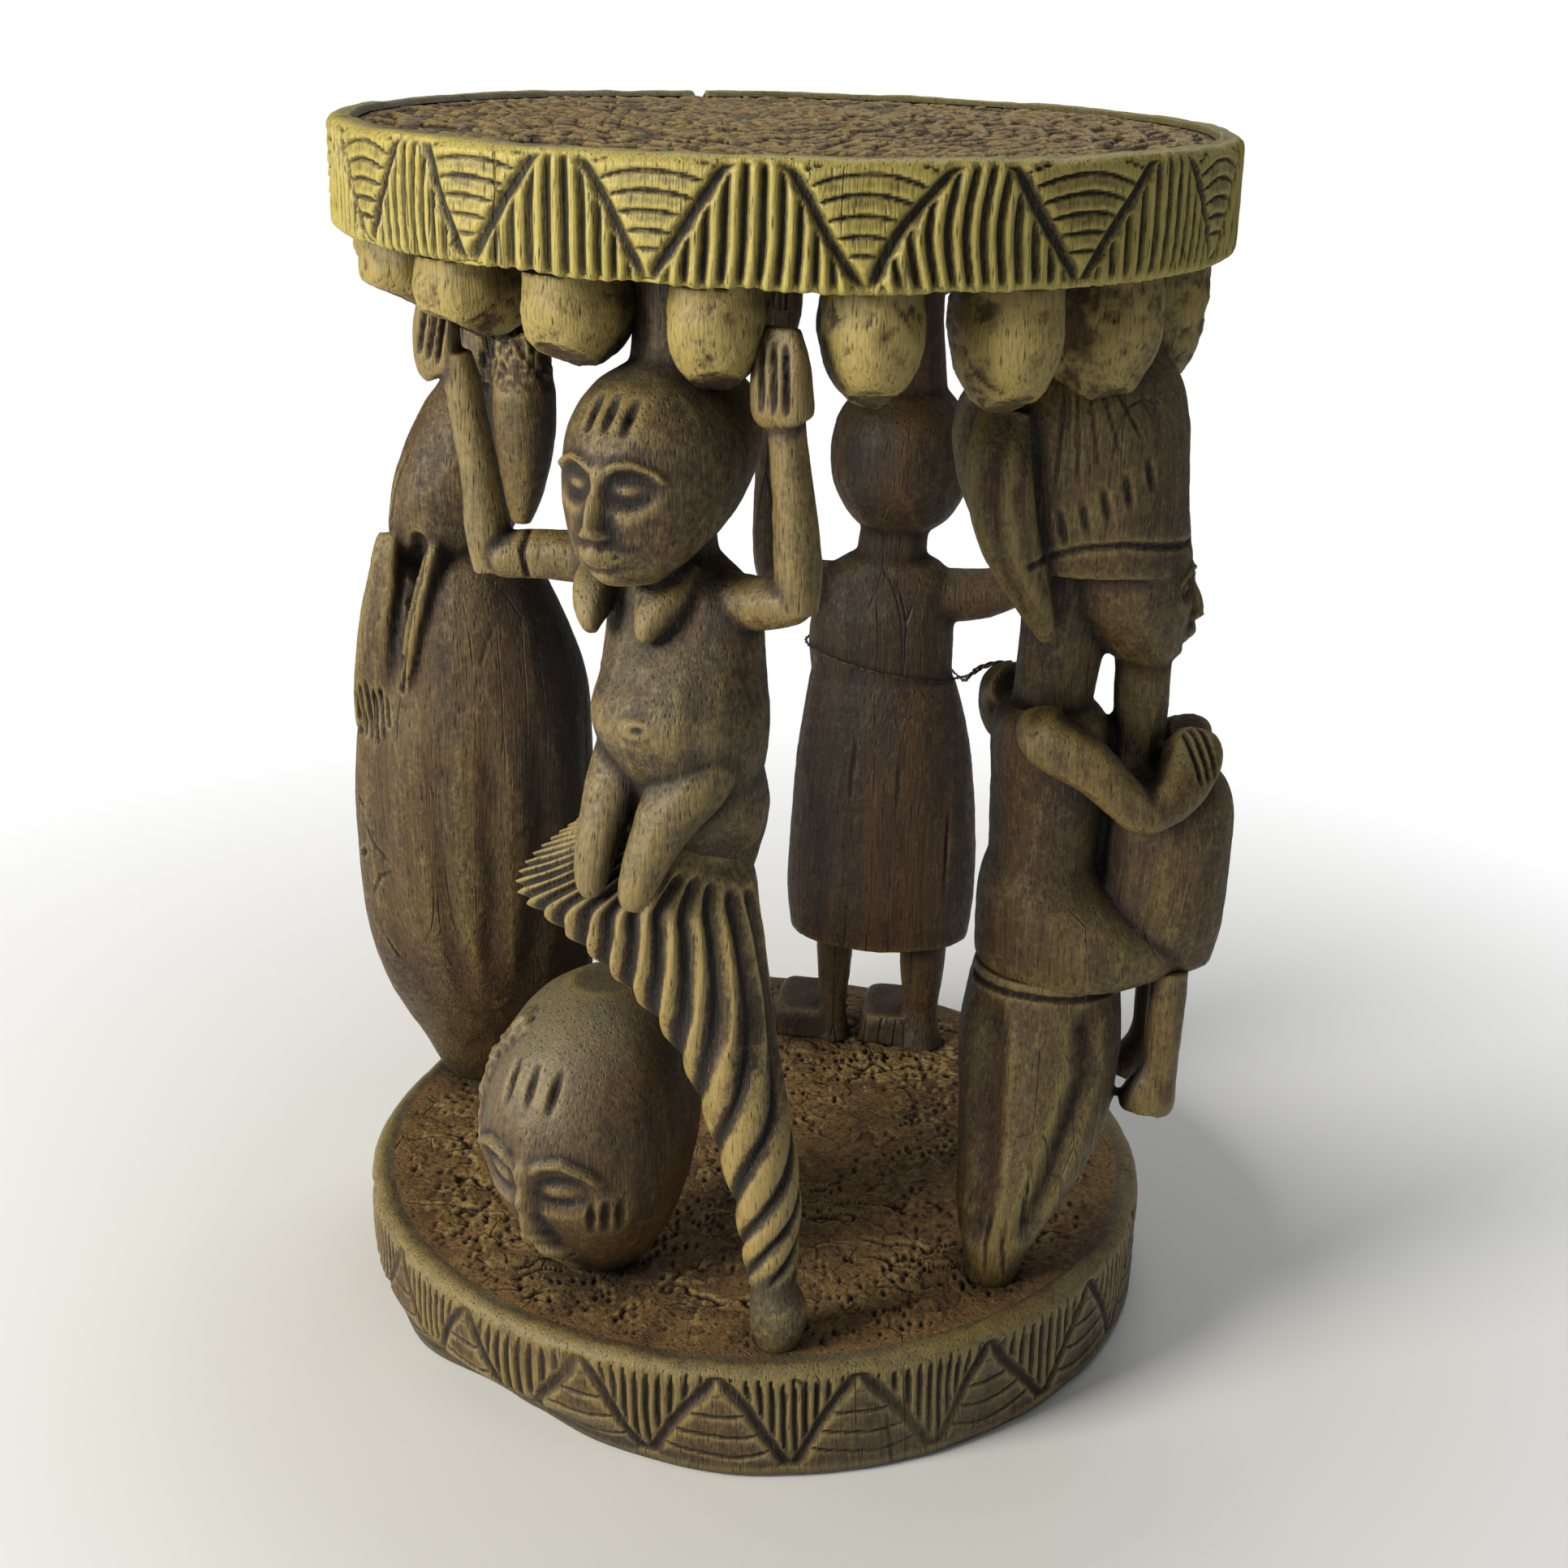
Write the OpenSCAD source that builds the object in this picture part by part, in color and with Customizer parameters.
// Carved caryatid stool: a round seat and a round foot slab with four carved figures between them.
// Millimetres, +Z up, the floor at z = 0, the front at -Y.
// Azimuths turn from the front towards +X. Heights inside a figure are percent of the figures' height,
// and its other sizes are percent of that figure's own width, so each figure keeps its carving
// when the stool grows. A figure's front is its -Y, and its right hand is at its -X.

/* [Slabs] */
// Diameter of the seat
seat_d = 306; // [290:1:320]
// Thickness of the seat at its rim
seat_t = 38; // [30:1:50]
// Width of the plain rim round the chip-carved field of the seat
rim_w = 9; // [5:1:16]
// How deep the carved field lies below the rim
field_sink = 2.5; // [1:0.5:5]
// Rounding of the seat's edges
seat_round = 6; // [3:1:12]
// Diameter of the foot slab
base_d = 306; // [290:1:320]
// Thickness of the foot slab
base_t = 45; // [35:1:60]
// Worn rounding of the foot slab's edges
base_round = 6; // [3:1:10]
// How far the foot slab sits to the left of the seat's axis
base_shift = 2.5; // [0:0.5:5]

/* [Carved pattern] */
// Number of fluted triangles round the seat's edge
seat_tips = 15; // [11:1:19]
// Number of fluted triangles round the foot slab's edge
base_tips = 19; // [14:1:23]
// Depth of the cuts that bound the triangles
bound_depth = 1.7; // [1:0.1:2.4]
// Width of the cuts that bound the triangles
bound_w = 5; // [3:0.5:6]
// Distance between the upright flutes in a triangle
flute_step = 5.3; // [4.5:0.1:9]
// Width of a flute
flute_w = 3.4; // [2:0.1:4]
// Depth of a flute
flute_depth = 1.4; // [0.8:0.1:2]
// Plain strip above the pattern of the seat's edge
plain_strip = 6.5; // [5:0.5:9]
// Width of one ring of chips in the seat's field
chip_step = 9.5; // [7:0.5:14]
// Depth of the rings of chips
chip_depth = 1.8; // [0.5:0.1:2.5]
// How far the foot slab's lower edge is worn back at the front left
foot_wear = 11.5; // [4:0.5:14]
// Number of ribs round the crest
crest_ribs = 20; // [14:1:26]
// Number of strands round the braid
braid_strands = 11; // [8:1:13]
// Depth of the cuts between ribs and between strands
rib_depth = 2.8; // [1:0.1:3.2]

/* [Figures] */
// Height of the figures between the two slabs
column_h = 357; // [320:1:400]
// How far the two widest figures reach past the seat's edge
reach_past = 10; // [6:1:14]
// Distance from the seat's edge in to the kneeling woman
woman_in = 36; // [32:1:41]
// Width of the kneeling woman's hips
woman_w = 50; // [44:1:54]
// Distance from the seat's edge in to the large head
big_head_in = 42.5; // [40:0.5:47]
// Width of the large head
big_head_w = 75; // [66:1:80]
// Distance from the seat's edge in to the foot of the twisted braid
braid_in = 18; // [15:1:23]
// Width of the ribbed crest that runs down into the braid
crest_w = 80; // [72:1:86]
// Distance from the seat's edge in to the seated drinker
drinker_in = 45; // [41:1:49]
// Width of the seated drinker's shoulders
drinker_w = 50; // [44:1:54]
// Distance from the seat's edge in to the standing figure
stander_in = 49; // [45:1:54]
// Width of the standing figure's chest
stander_w = 52; // [46:1:56]
// Distance from the seat's edge in to the robed figure
robed_in = 36.5; // [34:0.5:40]
// Depth of the robe from its outer to its inner side
robed_w = 90; // [80:1:94]

/* [Lobes] */
// Number of lobes in the ring under the seat
lobe_count = 18; // [14:1:20]
// Distance from the seat's edge in to the middle of a lobe
lobe_in = 26; // [23:1:31]
// Width of a lobe round the ring
lobe_w = 33; // [26:1:36]
// Length of a lobe along the radius
lobe_l = 42; // [34:1:46]
// How far the longest lobe hangs below the seat
lobe_drop = 46; // [36:1:54]

/* [Wire] */
// Diameter of the wire tied round the standing figure
wire_d = 1.4; // [1:0.1:2]

/* [Hidden] */
sides = 16;
limb_sides = 12;
round_sides = 72;
wire_sides = 8;
seat_r = seat_d / 2;
base_r = base_d / 2;
seat_under = base_t + column_h;

// Distances from the stool's axis to the figures and the lobes
woman_r = seat_r - woman_in;
big_head_r = seat_r - big_head_in;
braid_r = seat_r - braid_in;
drinker_r = seat_r - drinker_in;
stander_r = seat_r - stander_in;
robed_r = seat_r - robed_in;
lobe_r = seat_r - lobe_in;
figure_reach = seat_r + reach_past;

// Where each figure stands, as the azimuth of its axis, and the azimuth that its front looks to
woman_at = -17;
woman_front = -31;
big_head_at = -33;
big_head_front = -31;
braid_at = 3;
braid_front = 0;
drinker_at = 58.5;
drinker_front = 90;
stander_at = 152;
stander_front = 172;
robed_at = -104;
robed_front = -90;

// Azimuth of one tip on each slab, and how unevenly the seat's tips were laid out by eye
seat_tip_at = -3;
seat_tip_sway = 3.7;
base_tip_at = 5.3;
base_tip_sway = 1;

// Azimuth of the worst wear of the foot slab's lower edge, its height, and how far round it goes
wear_at = -52;
wear_h = 18;
wear_spread = 23;

// Turn of the crest's ribs and of the braid's strands, in degrees for each percent of height
crest_turn = 5.5;
braid_turn = 3;
braid_twist = 138;

// Azimuth of the first lobe, and lobes in each quarter group
lobe_start = -8;
quarter = floor(lobe_count / 4);

// Fronts of the drum and the robe at their widest reach, in percent of their figures' widths
drum_front = 100 * (figure_reach - drinker_r * sin(drinker_at)) / drinker_w;
robe_front_y = 100 * (figure_reach + robed_r * sin(robed_at)) / robed_w;

// Levels, in percent of the figures' height, at which pieces of one figure meet
braid_knot = 7;
crest_start = 33.5;
lap_under = 30;
lap_top = 40;
drinker_shoulder = 58.5;
cap_under = 72.5;
skirt_top = 47;
stander_shoulder = 61.5;
woman_waist = 56;
waist_level = 51;

dark_wood = [0.24, 0.19, 0.14];
worn_wood = [0.36, 0.31, 0.22];
pale_wood = [0.42, 0.35, 0.22];

// Height above the floor of a share of the figures' height, in percent
function up(share) = base_t + column_h * share / 100;

// A station [level, x, y, half width, half depth] in percent becomes millimetres
function sized(s, w) = [up(s[0]), s[1] * w / 100, s[2] * w / 100, s[3] * w / 100, s[4] * w / 100];

// Value at place t along the list s, on a smooth curve through its values
function spline(s, t) = let (
    k = min(floor(t), len(s) - 2), u = t - k,
    p0 = s[max(k - 1, 0)], p1 = s[k], p2 = s[k + 1], p3 = s[min(k + 2, len(s) - 1)]
) 0.5 * (2 * p1 + (p2 - p0) * u + (2 * p0 - 5 * p1 + 4 * p2 - p3) * u * u
    + (3 * p1 - p0 - 3 * p2 + p3) * u * u * u);

// The list s with more values between its own, along a smooth curve
function smooth(s, steps) = [for (i = [0 : (len(s) - 1) * steps]) spline(s, i / steps)];

// Points of a rounded section with half sizes a and b; q under 1 makes it squarer
function section(n, a, b, q) = [for (i = [0 : n - 1]) let (w = 360 * i / n) [
    a * sign(cos(w)) * pow(abs(cos(w)), q),
    b * sign(sin(w)) * pow(abs(sin(w)), q)
]];

// Level ring of a body form at a sized station
function level_ring(s, n, q) = [for (p = section(n, s[3], s[4], q)) [s[1] + p[0], s[2] + p[1], s[0]]];

// Level ring with ribs: every second point is cut in by depth, and the ring is turned round its middle
function ribbed_ring(s, n, q, depth, turn) = [for (i = [0 : n - 1]) let (
    w = 360 * i / n + turn, x = s[3] * sign(cos(w)) * pow(abs(cos(w)), q),
    y = s[4] * sign(sin(w)) * pow(abs(sin(w)), q), k = 1 - (i % 2) * depth / norm([x, y])
) [s[1] + k * x, s[2] + k * y, s[0]]];

function unit(v) = v / norm(v);

function sum(v) = v * [for (i = v) 1];

// Ring square to the direction d round the point c, with its half width a along the side vector
function cross_ring(c, d, side, a, b, n, q) = let (
    s = unit(side - d * (side * d)), t = cross(d, s)
) [for (p = section(n, a, b, q)) c + s * p[0] + t * p[1]];

// A station seen from the other side of its figure
function other_side(s) = [s[0], -s[1], s[2], s[3], s[4]];

// Closed skin over rings that hold n points each
module skin(rings) {
    n = len(rings[0]);
    m = len(rings);
    walls = [for (j = [0 : m - 2], i = [0 : n - 1]) let (k = (i + 1) % n) each [
        [j * n + i, (j + 1) * n + i, (j + 1) * n + k],
        [j * n + i, (j + 1) * n + k, j * n + k]
    ]];
    floor_cap = [for (i = [1 : n - 2]) [0, i, i + 1]];
    top_cap = [for (i = [1 : n - 2]) [(m - 1) * n, (m - 1) * n + i + 1, (m - 1) * n + i]];
    polyhedron(points = [for (r = rings) each r], faces = concat(walls, floor_cap, top_cap));
}

// Closed skin over rings whose outlines bend inwards: each end is a fan from its middle
module ribbed_skin(rings) {
    n = len(rings[0]);
    m = len(rings);
    middles = [for (r = [rings[0], rings[m - 1]]) [for (a = [0 : 2]) sum([for (p = r) p[a]]) / n]];
    faces = [for (i = [0 : n - 1]) let (k = (i + 1) % n) each concat(
        [for (j = [0 : m - 2]) each [
            [j * n + i, (j + 1) * n + i, (j + 1) * n + k], [j * n + i, (j + 1) * n + k, j * n + k]
        ]],
        [[m * n, i, k], [m * n + 1, (m - 1) * n + k, (m - 1) * n + i]]
    )];
    polyhedron(points = concat([for (r = rings) each r], middles), faces = faces);
}

// Upright form through stations [level, x, y, half width, half depth], in percent
module body_form(stations, w, steps = 2, q = 1, n = sides) {
    skin([for (s = smooth([for (v = stations) sized(v, w)], steps)) level_ring(s, n, q)]);
}

// Limb through stations [level, x, y, half width, half depth]; its half width lies along side
module limb_form(stations, w, side = [1, 0, 0], steps = 2, q = 1, n = limb_sides) {
    s = smooth([for (v = stations) sized(v, w)], steps);
    c = [for (v = s) [v[1], v[2], v[0]]];
    last = len(c) - 1;
    skin([for (i = [0 : last]) cross_ring(
        c[i], unit(c[min(i + 1, last)] - c[max(i - 1, 0)]), side, s[i][3], s[i][4], n, q
    )]);
}

// Places a figure's axis at an azimuth and a radius, with its front looking to the azimuth front
module stand(azimuth, r, front) {
    rotate([0, 0, azimuth]) translate([0, -r, 0]) rotate([0, 0, front - azimuth]) children();
}

module as_woman() { stand(woman_at, woman_r, woman_front) children(); }
module as_big_head() { stand(big_head_at, big_head_r, big_head_front) children(); }
module as_braid() { stand(braid_at, braid_r, braid_front) children(); }
module as_drinker() { stand(drinker_at, drinker_r, drinker_front) children(); }
module as_stander() { stand(stander_at, stander_r, stander_front) children(); }
module as_robed() { stand(robed_at, robed_r, robed_front) children(); }

// The point p, in percent of a figure's width w, in the stool's frame
function placed(azimuth, r, front, w, p) = [
    r * sin(azimuth) + (p[1] * cos(front) - p[2] * sin(front)) * w / 100,
    -r * cos(azimuth) + (p[1] * sin(front) + p[2] * cos(front)) * w / 100,
    up(p[0])
];

// Quarter turn of points round c, from the angle a1
function quarter_turn(c, r, a1) = [for (i = [0 : 4]) c + r * [cos(a1 + 22.5 * i), sin(a1 + 22.5 * i)]];

// Point at an azimuth and a height on a round wall
function on_wall(r, azimuth, z) = [r * sin(azimuth), -r * cos(azimuth), z];

// Azimuth of the tip k of a band with n tips, unevenly spaced by the sway
function tip_azimuth(k, n, start, sway) = let (a = start + 360 * k / n) a + sway * (1 - cos(2 * a));

// V-shaped cut between two points on the wall of a slab
module wall_cut(r, azimuth_1, z_1, azimuth_2, z_2, w, depth) {
    out = 1.5;
    a = on_wall(r, azimuth_1, z_1);
    b = on_wall(r, azimuth_2, z_2);
    n = on_wall(1, (azimuth_1 + azimuth_2) / 2, 0);
    side = unit(cross(b - a, n)) * w / 2 * (depth + out) / depth;
    polyhedron(
        points = [a - depth * n, a + out * n - side, a + out * n + side,
                  b - depth * n, b + out * n - side, b + out * n + side],
        faces = [[0, 1, 2], [3, 5, 4], [0, 3, 4], [0, 4, 1], [1, 4, 5], [1, 5, 2], [2, 5, 3], [2, 3, 0]]
    );
}

// Upright V-shaped flute on the wall of a slab
module flute(r, azimuth, z_1, z_2) {
    out = 1.5;
    half = flute_w / 2 * (flute_depth + out) / flute_depth;
    rotate([0, 0, azimuth]) translate([0, -r, z_1]) linear_extrude(z_2 - z_1)
        polygon([[0, flute_depth], [-half, -out], [half, -out]]);
}

// Cuts of a band between the heights low and high: a zigzag, and flutes in each triangle that has its
// tip at high; with low above high the band is upside down
module band_cuts(r, n, start, sway, low, high) {
    for (k = [0 : n - 1]) {
        tip = tip_azimuth(k, n, start, sway);
        for (side = [-1, 1]) {
            foot = (tip + tip_azimuth(k + side, n, start, sway)) / 2;
            half = abs(foot - tip) * r * PI / 180;
            wall_cut(r, tip, high, foot, low, bound_w, bound_depth);
            for (i = [0 : floor((half - bound_w) / flute_step - 0.5)]) {
                x = (i + 0.5) * flute_step;
                top = high + (low - high) * (x + bound_w * 0.75) / half;
                flute(r, tip + side * x / r * 180 / PI, min(top, low), max(top, low));
            }
        }
    }
}

// Seat: a thick round slab with rounded edges, a band of triangles, and a sunk field of rings of chips
// inside a plain rim
module seat() {
    low_round = seat_round / 2;
    field_r = seat_r - rim_w;
    floor_z = seat_t - field_sink;
    edge = field_r - 1.5;
    color(pale_wood) translate([0, 0, seat_under]) difference() {
        rotate_extrude($fn = round_sides) polygon(concat(
            [[0, 0]], quarter_turn([seat_r - low_round, low_round], low_round, -90),
            quarter_turn([seat_r - seat_round, seat_t - seat_round], seat_round, 0),
            [[field_r, seat_t], [edge, floor_z]],
            [for (i = [1 : floor(edge / chip_step) - 1]) each [
                [edge - (i - 0.5) * chip_step, floor_z - chip_depth], [edge - i * chip_step, floor_z]
            ]],
            [[0, floor_z]]
        ));
        band_cuts(seat_r, seat_tips, seat_tip_at, seat_tip_sway, low_round / 2, seat_t - plain_strip);
    }
}

// Foot slab: a thick round slab with worn edges, a band of triangles upside down, and its lower edge
// worn back at the front left
module base() {
    wear_r = base_r - foot_wear + wear_spread;
    color(dark_wood) translate([-base_shift, 0, 0]) difference() {
        intersection() {
            rotate_extrude($fn = round_sides) polygon([
                [0, 0], [base_r - base_round / 2, 0], [base_r, base_round / 2],
                [base_r, base_t - base_round], [base_r - base_round, base_t], [0, base_t]
            ]);
            translate(on_wall(-wear_spread, wear_at, 0)) cylinder(
                h = base_t, r1 = wear_r, r2 = wear_r + foot_wear / wear_h * base_t, $fn = round_sides
            );
        }
        band_cuts(base_r, base_tips, base_tip_at, base_tip_sway, base_t - base_round - 1, base_round / 2 + 1);
    }
}

// One lobe of the ring under the seat; the drop varies from lobe to lobe as in free carving
module lobe_form(i) {
    azimuth = lobe_start + i * 360 / lobe_count;
    drop = lobe_drop * (0.74 + 0.26 * sin(azimuth + 5));
    shape = [[1, 0.3], [0.94, 0.62], [0.8, 0.88], [0.55, 1], [0.25, 0.92], [0, 0.76]];
    rotate([0, 0, azimuth]) translate([0, -lobe_r, seat_under]) skin([for (s = shape) [
        for (p = section(limb_sides, s[1] * lobe_w / 2, s[1] * lobe_l / 2, 0.9)) [p[0], p[1], -drop * s[0]]
    ]]);
}

module lobe_ring(first, last) { for (i = [first : last]) lobe_form(i); }
// The lobes near an azimuth, which cut the forms that rise between them
module lobes_near(azimuth, spread = 2) {
    i = round((azimuth - lobe_start) * lobe_count / 360);
    lobe_ring(i - spread, i + spread);
}
module lobes_front() { color(worn_wood) lobe_ring(-2, quarter - 2); }
module lobes_right() { color(worn_wood) lobe_ring(quarter - 1, 2 * quarter - 2); }
module lobes_back() { color(worn_wood) lobe_ring(2 * quarter - 1, 3 * quarter - 1); }
module lobes_left() { color(worn_wood) lobe_ring(3 * quarter, lobe_count - 3); }

// Kneeling woman: head, neck, torso with breasts, hips, two raised arms and two thighs
module woman_head_form() {
    body_form([
        [75, 0, -36, 18, 20], [77, 0, -31, 34, 38], [80, 0, -17, 48, 56], [84, 0, -5, 56, 68],
        [88, 0, 2, 54, 68], [91, 0, 6, 42, 54], [93, 0, 8, 20, 28]
    ], woman_w);
}
module woman_torso_form() {
    body_form([
        [woman_waist, 12, 8, 50, 46], [59, 13, 4, 54, 54], [62.5, 12, 0, 57, 58], [66.5, 10, 4, 50, 48],
        [70.5, 5, 10, 48, 36], [73.5, 3, 12, 46, 32], [76, 1, 13, 28, 26]
    ], woman_w);
}
module woman_breast_form(x) {
    limb_form([[73.5, x, -6, 13, 12], [72.5, x, -26, 13, 13], [70.6, x, -42, 9, 10],
        [69.4, x, -48, 4, 5]], woman_w);
}
module woman_hips_form() {
    body_form([[45, 6, 26, 36, 30], [49, 8, 24, 47, 40], [53, 11, 17, 52, 47],
        [woman_waist, 12, 8, 50, 46]], woman_w);
}
module woman_right_upper_arm_form() {
    limb_form([[73.6, -30, 11, 16, 16], [74.2, -62, 5, 17, 17], [74.3, -95, -8, 16, 16],
        [74, -114, -17, 15, 15], [73.8, -124, -20, 8, 9]], woman_w, side = [0, 1, 0]);
}
module woman_left_upper_arm_form() {
    limb_form([[73.2, 32, 11, 16, 16], [73, 60, 6, 17, 17], [73.6, 82, 3, 16, 16],
        [74.2, 96, 2, 14, 14], [74.4, 103, 2, 8, 9]], woman_w, side = [0, 1, 0]);
}
module woman_head_pad() {
    color(dark_wood) difference() {
        as_woman() body_form([[89, 0, 12, 34, 34], [95, 0, 14, 28, 30], [100, 0, 14, 32, 32]], woman_w, 1);
        as_woman() woman_head_form();
        lobes_near(woman_at);
    }
}
module woman_head() {
    color(worn_wood) difference() {
        as_woman() woman_head_form();
        lobes_near(woman_at);
    }
}
module woman_neck() {
    color(worn_wood) as_woman() difference() {
        body_form([[76, 1, 13, 28, 26], [79, 0, 12, 24, 26], [84, 0, 10, 24, 26]], woman_w, 1);
        woman_head_form();
    }
}
module woman_torso() {
    color(worn_wood) as_woman() difference() {
        union() {
            woman_torso_form();
            woman_breast_form(-15);
            woman_breast_form(21);
        }
        woman_head_form();
    }
}
module woman_hips() {
    color(worn_wood) difference() {
        as_woman() woman_hips_form();
        as_braid() crest_form();
    }
}
module woman_right_upper_arm() {
    color(worn_wood) as_woman() difference() {
        woman_right_upper_arm_form();
        woman_torso_form();
        woman_head_form();
    }
}
module woman_left_upper_arm() {
    color(worn_wood) as_woman() difference() {
        woman_left_upper_arm_form();
        woman_torso_form();
        woman_head_form();
    }
}
module woman_right_forearm() {
    color(worn_wood) difference() {
        as_woman() limb_form([
            [72.5, -121, -19, 12, 13], [76.5, -123, -20, 15, 15], [81, -126, -22, 13, 13],
            [86, -129, -24, 11.5, 12], [89, -132, -26, 11, 11], [92, -138, -30, 18, 10],
            [95, -140, -33, 16, 9], [97, -140, -34, 10, 7]
        ], woman_w);
        as_woman() woman_right_upper_arm_form();
        lobes_near(woman_front - 14, 1);
    }
}
module woman_left_forearm() {
    color(worn_wood) difference() {
        as_woman() limb_form([
            [73, 95, 2, 13, 13], [76.5, 95, 2, 15, 15], [82, 92, 1, 13.5, 14],
            [86.5, 88, 0, 12, 12], [88.5, 86, -2, 13, 11], [91, 84, -4, 20, 10],
            [93.5, 83, -4, 19, 9], [95.5, 83, -3, 13, 7]
        ], woman_w);
        as_woman() woman_left_upper_arm_form();
        lobes_near(woman_front + 31, 1);
    }
}
module woman_thigh(stations) {
    color(worn_wood) difference() {
        as_woman() limb_form(stations, woman_w);
        as_woman() woman_torso_form();
        as_woman() woman_hips_form();
        as_braid() crest_form();
    }
}
module woman_right_thigh() {
    woman_thigh([[58.5, -20, -22, 17, 16], [54, -21, -38, 17, 17], [50, -18, -50, 15, 14],
        [47, -15, -56, 11, 11], [46, -14, -57, 5, 5]]);
}
module woman_left_thigh() {
    woman_thigh([[58.5, 28, -18, 19, 18], [54, 24, -38, 19, 18], [50, 18, -50, 15, 14],
        [46.8, 13, -56, 11, 11], [45.8, 12, -57, 5, 5]]);
}

// Ribbed crest over the large head, running down into a twisted braid with a knob for a foot
// Upright form with ribs that turn by so many degrees for each percent of height above a level, and twist
// faster and faster below it
module ribbed_form(stations, w, steps, q, n, level, turn, twist) {
    skins = smooth([for (v = stations) concat(sized(v, w), v[0])], steps);
    ribbed_skin([for (s = skins) ribbed_ring(
        s, n, q, rib_depth, turn * (level - s[5]) - twist * pow(max(level - s[5], 0) / 26, 3.2)
    )]);
}
module crest_form() {
    ribbed_form([
        [crest_start, -32, 20, 27, 21], [38.5, -44, 22, 36, 24], [42, -54, 24, 44, 25],
        [44.8, -62, 26, 50, 25], [47.5, -60, 29, 45, 24], [50.5, -54, 32, 34, 20]
    ], crest_w, 1, 0.85, 2 * crest_ribs, crest_start, -crest_turn, 0);
}
module braid_form() {
    ribbed_form([
        [braid_knot, -3, 2, 11, 11], [10.5, -4.5, 4, 13, 13], [15.4, -6.5, 7, 15.5, 15],
        [22.3, -14, 12, 18.5, 17], [28, -22, 16, 21, 19], [crest_start, -32, 20, 27, 21]
    ], crest_w, 5, 1, 2 * braid_strands, crest_start, -braid_turn, braid_twist);
}
module crest() { color(worn_wood) as_braid() crest_form(); }
module braid() { color(worn_wood) as_braid() braid_form(); }
module braid_foot() {
    color(worn_wood) as_braid() body_form([
        [0, 0, 0, 9, 9], [1.6, 0, 0, 12, 12], [4, 0, 0, 12.5, 12.5], [6, -2, 1, 10.5, 10.5],
        [braid_knot, -3, 2, 11, 11]
    ], crest_w);
}

// Large head on the foot slab, under the crest
module big_head() {
    color(worn_wood) difference() {
        as_big_head() body_form([
            [0, 0, 10, 12, 12], [2, 0, 7, 23, 22], [5, 0, 4, 33, 33], [9, 0, 1, 42, 44],
            [14.5, 0, 0, 48, 54], [20, 0, 3, 48, 56], [25, 0, 8, 44, 51], [29, 0, 11, 33, 38],
            [31.5, 0, 13, 16, 18]
        ], big_head_w);
        as_braid() crest_form();
        as_braid() braid_form();
    }
}

// Seated drinker: capped head with two lappets, torso, arms to a pipe, drum, lap, shins and a support
module drinker_cap_form() {
    body_form([
        [cap_under, 0, -30, 56, 66], [76, 0, -24, 60, 68], [80, 0, -20, 63, 69], [86, 0, -17, 64, 68],
        [90, 0, -17, 56, 60], [93, 0, -17, 36, 42]
    ], drinker_w);
}
module drinker_face_form() {
    body_form([[62.5, 0, -70, 18, 16], [64.5, 0, -64, 30, 30], [68.5, 0, -55, 44, 43],
        [cap_under, 0, -50, 48, 45]], drinker_w);
}
module drinker_torso_form() {
    body_form([
        [lap_top, 0, -8, 42, 38], [45, 0, -9, 40, 39], [50, 0, -9, 42, 40], [54, 0, -8, 47, 41],
        [57, 0, -8, 50, 39], [drinker_shoulder, 0, -8, 38, 30]
    ], drinker_w);
}
module drinker_lap_form() {
    body_form([
        [lap_under, 0, -34, 50, 62], [31.8, 0, -42, 55, 77], [34.5, 0, -43, 56, 79],
        [37.5, 0, -26, 52, 62], [lap_top, 0, -8, 46, 44]
    ], drinker_w);
}
module drinker_support_form() {
    body_form([
        [0, -70, 16, 17, 18], [3, -63, 13, 28, 25], [6.5, -50, 6, 40, 36], [11.5, -34, -6, 50, 48],
        [17, -18, -14, 55, 56], [24, -6, -16, 55, 59], [lap_under, 0, -18, 48, 52]
    ], drinker_w);
}
drinker_arm = [
    [57.7, -35, 3, 17, 17], [56.6, -51, -1, 19, 19], [54.4, -60, -29, 18, 18], [50.5, -62, -54, 16, 16],
    [47.8, -59, -72, 14, 15], [49, -50, -87, 15, 17], [51.5, -36, -98, 15, 20], [54, -20, -106, 15, 20],
    [55.2, -9, -107, 13, 15]
];
drinker_far_arm = [
    [58, 32, 14, 17, 17], [57, 50, 16, 19, 22], [54.4, 60, 4, 18, 30], [50.5, 62, -36, 16, 20],
    [47.8, 59, -68, 14, 15], [49, 50, -87, 15, 17], [51.5, 36, -98, 15, 20], [54, 20, -106, 15, 20],
    [55.2, 9, -107, 13, 15]
];
drinker_lappet = [
    [87.5, -46, 40, 11, 18], [83, -58, 44, 12, 22], [77, -57, 36, 12, 21], [70.5, -46, 16, 9, 14],
    [66, -38, 2, 5, 6]
];
drinker_shin = [
    [32, -26, -102, 14, 14], [26, -26, -102, 14, 14], [21, -26, -101, 13, 14], [17.5, -26, -95, 15, 21],
    [15.8, -26, -93, 13, 19]
];
module drinker_drum_form() {
    back = 49;
    half = (drum_front - back) / 2;
    y = -(drum_front + back) / 2;
    body_form([
        [31.5, 0, y, 0.7 * half, 0.86 * half], [36, 0, y, 0.95 * half, 0.97 * half], [42.5, 0, y, half, half],
        [49, 0, y, 0.95 * half, 0.95 * half], [52.5, 0, y, 0.6 * half, 0.6 * half]
    ], drinker_w);
}
module drinker_head_pad() {
    color(dark_wood) difference() {
        as_drinker() body_form([[88, 0, 14, 36, 26], [95, 0, 18, 32, 24], [100, 0, 18, 36, 27]],
            drinker_w, 1);
        as_drinker() drinker_cap_form();
        lobes_near(drinker_at);
    }
}
module drinker_cap() {
    color(worn_wood) difference() {
        as_drinker() drinker_cap_form();
        lobes_near(drinker_at);
    }
}
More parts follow.
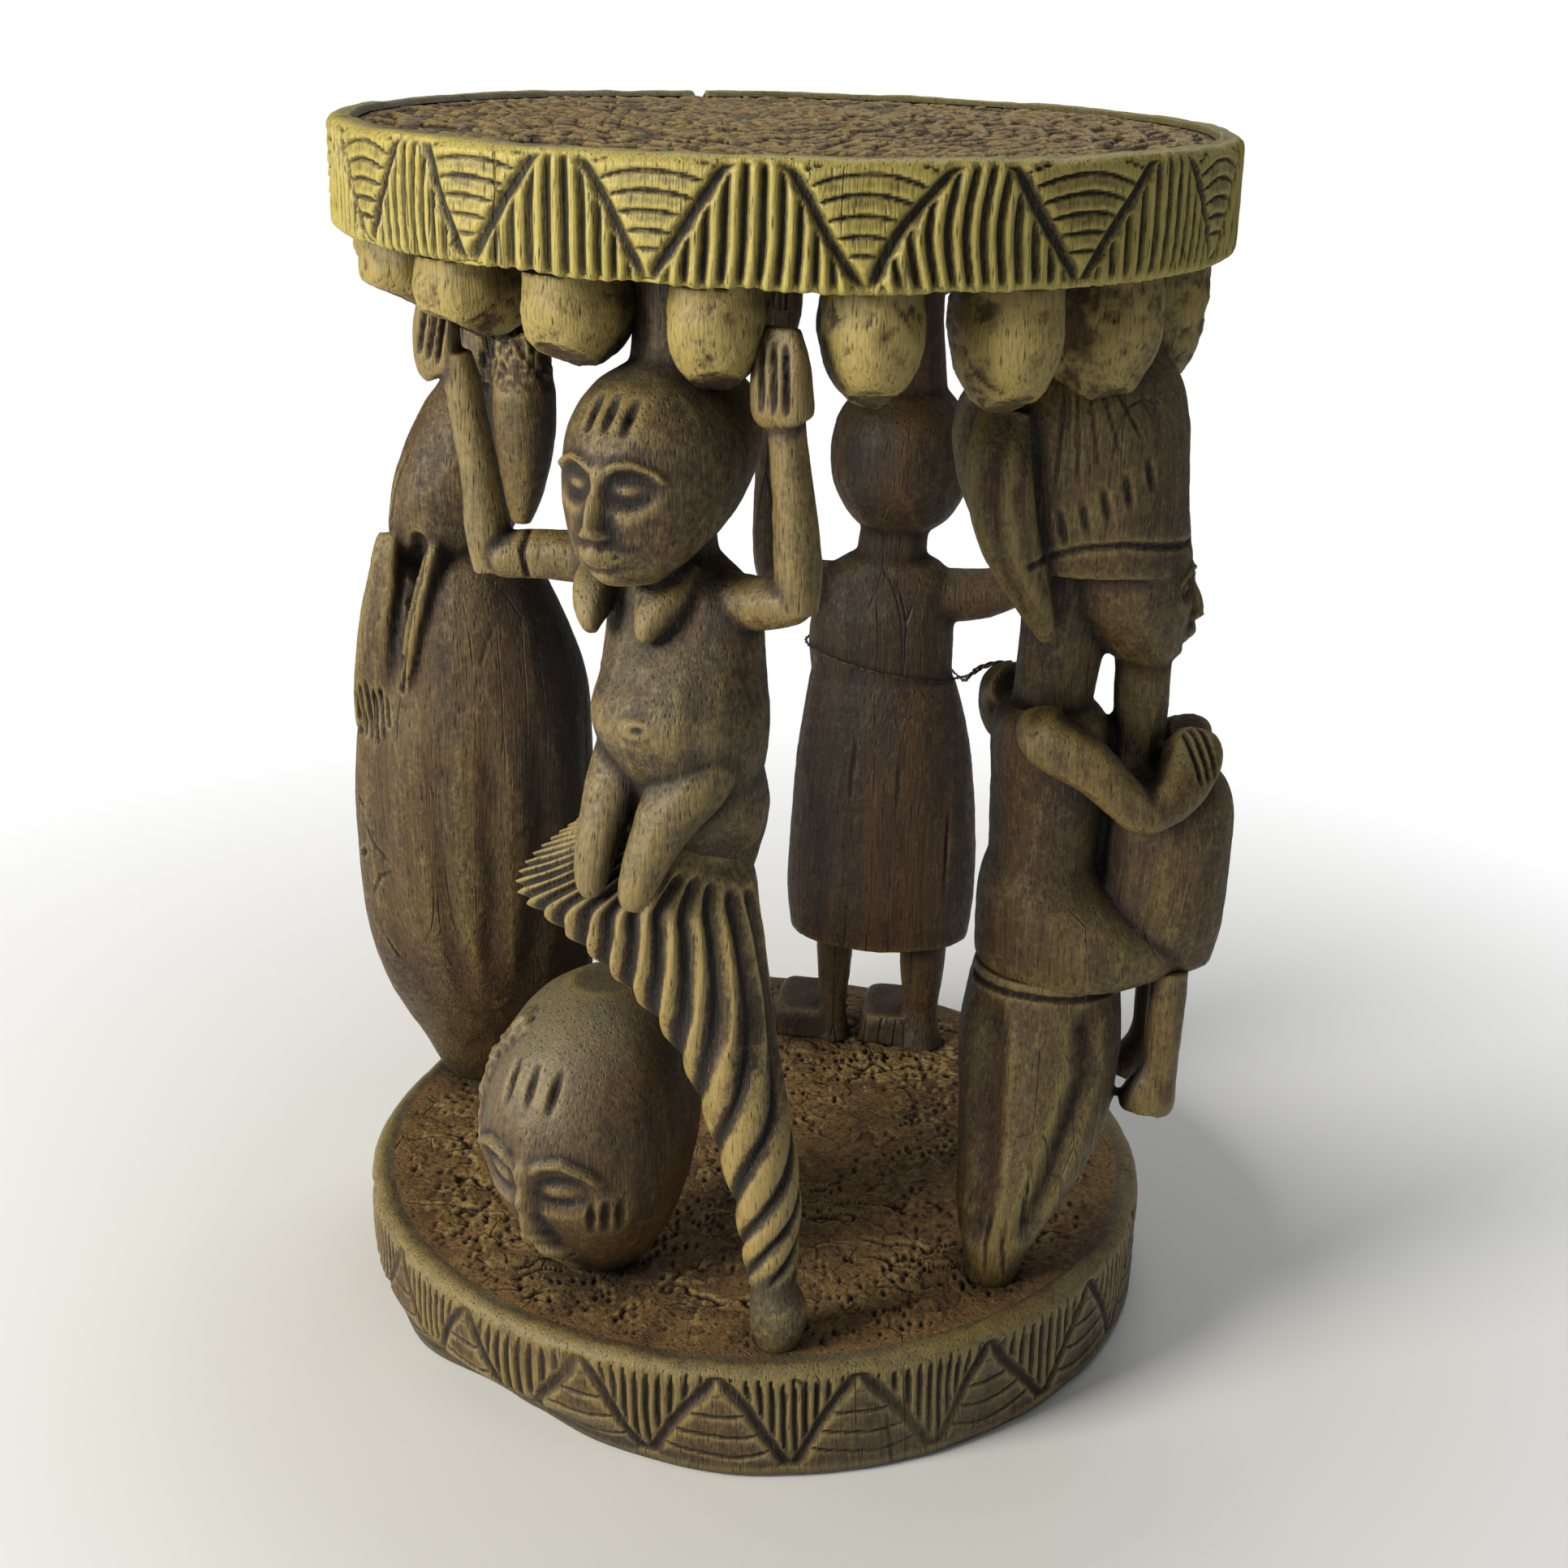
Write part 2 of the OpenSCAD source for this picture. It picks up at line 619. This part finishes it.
module drinker_face() { color(dark_wood) as_drinker() drinker_face_form(); }
module drinker_neck() {
    color(dark_wood) as_drinker() difference() {
        body_form([[drinker_shoulder, 0, -8, 26, 28], [64, 0, -12, 26, 30], [cap_under, 0, -20, 30, 36]],
            drinker_w, 1);
        drinker_face_form();
    }
}
module drinker_torso() { color(worn_wood) as_drinker() drinker_torso_form(); }
module drinker_lap() { color(worn_wood) as_drinker() drinker_lap_form(); }
module drinker_support() { color(worn_wood) as_drinker() drinker_support_form(); }
module drinker_one_lappet(stations, azimuth) {
    color(worn_wood) difference() {
        as_drinker() limb_form(stations, drinker_w);
        as_drinker() drinker_cap_form();
        as_drinker() drinker_face_form();
        lobes_near(azimuth, 1);
    }
}
module drinker_right_lappet() { drinker_one_lappet(drinker_lappet, drinker_at - 20); }
module drinker_left_lappet() {
    drinker_one_lappet([for (s = drinker_lappet) other_side(s)], drinker_at + 20);
}
module drinker_one_arm(stations) {
    color(worn_wood) as_drinker() difference() {
        limb_form(stations, drinker_w);
        drinker_torso_form();
        drinker_drum_form();
    }
}
module drinker_right_arm() { drinker_one_arm(drinker_arm); }
module drinker_left_arm() { drinker_one_arm(drinker_far_arm); }
module drinker_pipe() {
    color(worn_wood) as_drinker() difference() {
        body_form([[51, 0, -70, 14, 16], [56, 0, -70, 16, 19], [61, 0, -69, 17, 20], [66, 0, -68, 17, 20]],
            drinker_w, 1);
        drinker_face_form();
        drinker_drum_form();
        limb_form(drinker_arm, drinker_w);
        limb_form(drinker_far_arm, drinker_w);
    }
}
module drinker_drum() {
    color(dark_wood) as_drinker() difference() {
        drinker_drum_form();
        drinker_torso_form();
        drinker_lap_form();
    }
}
module drinker_one_shin(stations) {
    color(worn_wood) as_drinker() difference() {
        limb_form(stations, drinker_w);
        drinker_lap_form();
        drinker_support_form();
    }
}
module drinker_right_shin() { drinker_one_shin(drinker_shin); }
module drinker_left_shin() { drinker_one_shin([for (s = drinker_shin) other_side(s)]); }

// Standing figure, seen from behind: head, neck, torso, skirt, raised arms, legs and feet
module stander_head_form() {
    body_form([
        [64, 0, -6, 22, 24], [66, 0, -4, 40, 42], [69.5, 0, -2, 52, 54], [73.5, 0, -2, 55, 57],
        [77.5, 0, 0, 49, 51], [80.5, 0, 0, 32, 34], [82, 0, 0, 16, 18]
    ], stander_w);
}
module stander_torso_form() {
    body_form([
        [skirt_top, 8, 0, 56, 36], [waist_level, 10, 0, 58, 36], [55, 9, 0, 56, 35],
        [58.5, 6, 0, 53, 30], [60.5, 5, 0, 42, 27], [stander_shoulder, 5, 0, 30, 24]
    ], stander_w);
}
module stander_skirt_form() {
    body_form([
        [14.5, 2, 0, 74, 50], [20, 2, 0, 78, 53], [27, 2, 0, 77, 51], [35, 3, 0, 73, 47],
        [42, 5, 0, 66, 42], [46, 7, 0, 60, 38], [skirt_top, 8, 0, 56, 36]
    ], stander_w);
}
stander_upper_arm = [
    [57, -32, 0, 20, 22], [57.2, -60, 0, 19, 21], [58, -84, -2, 17, 18], [58.8, -98, -3, 14, 14],
    [59.2, -104, -4, 7, 7]
];
stander_forearm = [
    [57.6, -98, -4, 13, 13], [62, -101, -4, 15, 15], [70, -102, -5, 13, 14], [80, -100, -6, 12, 12],
    [84, -99, -7, 12, 11], [88, -98, -8, 17, 11], [93, -97, -9, 16, 10], [96, -97, -9, 11, 8]
];
module stander_arm(upper, fore, azimuth) {
    color(dark_wood) difference() {
        as_stander() union() {
            limb_form(upper, stander_w, side = [0, 1, 0]);
            limb_form(fore, stander_w);
        }
        as_stander() stander_torso_form();
        lobes_near(azimuth, 1);
        as_drinker() drinker_cap_form();
    }
}
module stander_right_arm() { stander_arm(stander_upper_arm, stander_forearm, stander_at - 22); }
module stander_left_arm() {
    stander_arm([for (s = stander_upper_arm) other_side(s)], [for (s = stander_forearm) other_side(s)],
        stander_at + 30);
}
module stander_head_pad() {
    color(dark_wood) difference() {
        as_stander() body_form([[79, 0, 0, 34, 34], [90, 0, 0, 28, 28], [100, 0, 0, 36, 36]], stander_w, 1);
        as_stander() stander_head_form();
        lobes_near(stander_at);
    }
}
module stander_head() { color(dark_wood) as_stander() stander_head_form(); }
module stander_neck() {
    color(dark_wood) as_stander() difference() {
        body_form([[stander_shoulder, 5, 0, 28, 24], [64, 3, 0, 27, 26], [68, 0, 0, 27, 28]], stander_w, 1);
        stander_head_form();
    }
}
module stander_torso() { color(dark_wood) as_stander() stander_torso_form(); }
module stander_skirt() { color(dark_wood) as_stander() stander_skirt_form(); }
module stander_leg_form(x, a) {
    body_form([[0, x, 2, 1.1 * a, a], [4, x, 0, 0.8 * a, 0.8 * a], [10, x, 0, a, 0.9 * a],
        [17, x, 0, 1.1 * a, a]], stander_w, 1);
}
module stander_leg(x, a) {
    color(dark_wood) as_stander() difference() {
        stander_leg_form(x, a);
        stander_skirt_form();
    }
}
right_leg = [-36, 19];
left_leg = [38, 15];
module stander_right_leg() { stander_leg(right_leg[0], right_leg[1]); }
module stander_left_leg() { stander_leg(left_leg[0], left_leg[1]); }
module stander_foot(leg) {
    x = leg[0];
    color(dark_wood) as_stander() difference() {
        body_form([[0, x + 18, -28, 24, 40], [1.6, x + 17, -27, 23, 38], [2.8, x + 12, -20, 18, 28],
            [3.8, x + 8, -12, 10, 14]], stander_w, 1, q = 0.9);
        stander_leg_form(leg[0], leg[1]);
    }
}
module stander_right_foot() { stander_foot(right_leg); }
module stander_left_foot() { stander_foot(left_leg); }

// Robed figure: head under a pad, lappet, heavy robe and two arms lying on the robe's outer side
module robed_head_form() {
    body_form([
        [64, 0, -16, 8, 10], [67, 0, -11, 21, 25], [72.5, 0, -7, 27, 27], [77, 0, -2, 27, 26],
        [80.5, 0, 2, 24, 23], [83.5, 0, 6, 19, 19], [86, 0, 8, 14, 14]
    ], robed_w);
}
module robe_form() {
    inner = 50;
    y = (inner - robe_front_y) / 2;
    b = (inner + robe_front_y) / 2;
    body_form([
        [0, -34, -2, 18, 24], [5.5, -28, -2, 22, 34], [13.5, -16, -2, 29, 46], [22, -6, y, 33, 0.97 * b],
        [33, 0, y, 35, b], [44, 2, y, 34, 0.97 * b], [52, 0, -1, 32, 47], [59, 0, -2, 29, 38],
        [64, 0, -4, 24, 30], [66, 0, -4, 18, 23]
    ], robed_w);
}
robed_near_arm = [
    [66, 18, -16, 8, 9], [62, 21, -28, 9, 10], [56, 21, -36, 9, 10], [51, 18, -43, 8, 8], [49, 16, -45, 5, 5]
];
robed_far_arm = [
    [66, -4, -24, 9, 9], [61, -4, -36, 11, 10], [54, -2, -45, 12, 9], [47, 2, -48, 12, 6], [43, 4, -50, 8, 3]
];
module robed_pad_form() {
    body_form([[84, 0, 8, 22, 22], [92, 0, 8, 18, 18], [100, 0, 8, 22, 22]], robed_w, 1);
}
module robed_head_pad() {
    color(dark_wood) difference() {
        as_robed() robed_pad_form();
        as_robed() robed_head_form();
        lobes_near(robed_at);
    }
}
module robed_head() {
    color(worn_wood) as_robed() difference() {
        robed_head_form();
        robe_form();
    }
}
module robed_lappet() {
    color(pale_wood) difference() {
        as_robed() limb_form([[89, 20, 22, 11, 11], [84, 23, 24, 13, 13], [78, 24, 24, 12, 12],
            [73, 24, 23, 8, 8], [70, 24, 22, 4, 4]], robed_w);
        as_robed() robed_head_form();
        as_robed() robed_pad_form();
        lobes_near(robed_at + 20, 1);
    }
}
module robe() { color(dark_wood) as_robed() robe_form(); }
module robed_arm(stations) {
    color(worn_wood) as_robed() difference() {
        limb_form(stations, robed_w);
        robe_form();
        robed_head_form();
    }
}
module robed_right_arm() { robed_arm(robed_far_arm); }
module robed_left_arm() { robed_arm(robed_near_arm); }

// Wire tied round the standing figure's waist, with its two ends led to the drinker's shoulder
function waist_point(w) = placed(stander_at, stander_r, stander_front, stander_w, [
    waist_level - 2 + 1.7 * cos(w), 9.5 + 60.5 * cos(w), 38.6 * sin(w)
]);
function shoulder_point(p) = placed(drinker_at, drinker_r, drinker_front, drinker_w, p);
wire_route = concat(
    [for (p = [[59.9, 46, 10], [59.8, 49, 23], [59, 54, 36], [57.6, 68, 43]]) shoulder_point(p)],
    [for (i = [0 : 12]) waist_point(172 - 28.5 * i)],
    [for (p = [[57, 69, 46], [58.7, 58, 40], [59.6, 54, 28], [59.8, 52, 15]]) shoulder_point(p)]
);
module wire_tie() {
    r = wire_d / 2;
    c = smooth(wire_route, 3);
    last = len(c) - 1;
    color("dimgray") skin([for (i = [0 : last]) cross_ring(
        c[i], unit(c[min(i + 1, last)] - c[max(i - 1, 0)]), [0, 0, 1], r, r, wire_sides, 1
    )]);
}

seat();
base();
lobes_front();
lobes_right();
lobes_back();
lobes_left();
woman_head_pad();
woman_head();
woman_neck();
woman_torso();
woman_hips();
woman_right_upper_arm();
woman_right_forearm();
woman_left_upper_arm();
woman_left_forearm();
woman_right_thigh();
woman_left_thigh();
crest();
braid();
braid_foot();
big_head();
drinker_head_pad();
drinker_cap();
drinker_face();
drinker_neck();
drinker_torso();
drinker_lap();
drinker_right_lappet();
drinker_left_lappet();
drinker_right_arm();
drinker_left_arm();
drinker_pipe();
drinker_drum();
drinker_right_shin();
drinker_left_shin();
drinker_support();
stander_head_pad();
stander_head();
stander_neck();
stander_torso();
stander_skirt();
stander_right_arm();
stander_left_arm();
stander_right_leg();
stander_left_leg();
stander_right_foot();
stander_left_foot();
robed_head_pad();
robed_head();
robed_lappet();
robe();
robed_right_arm();
robed_left_arm();
wire_tie();
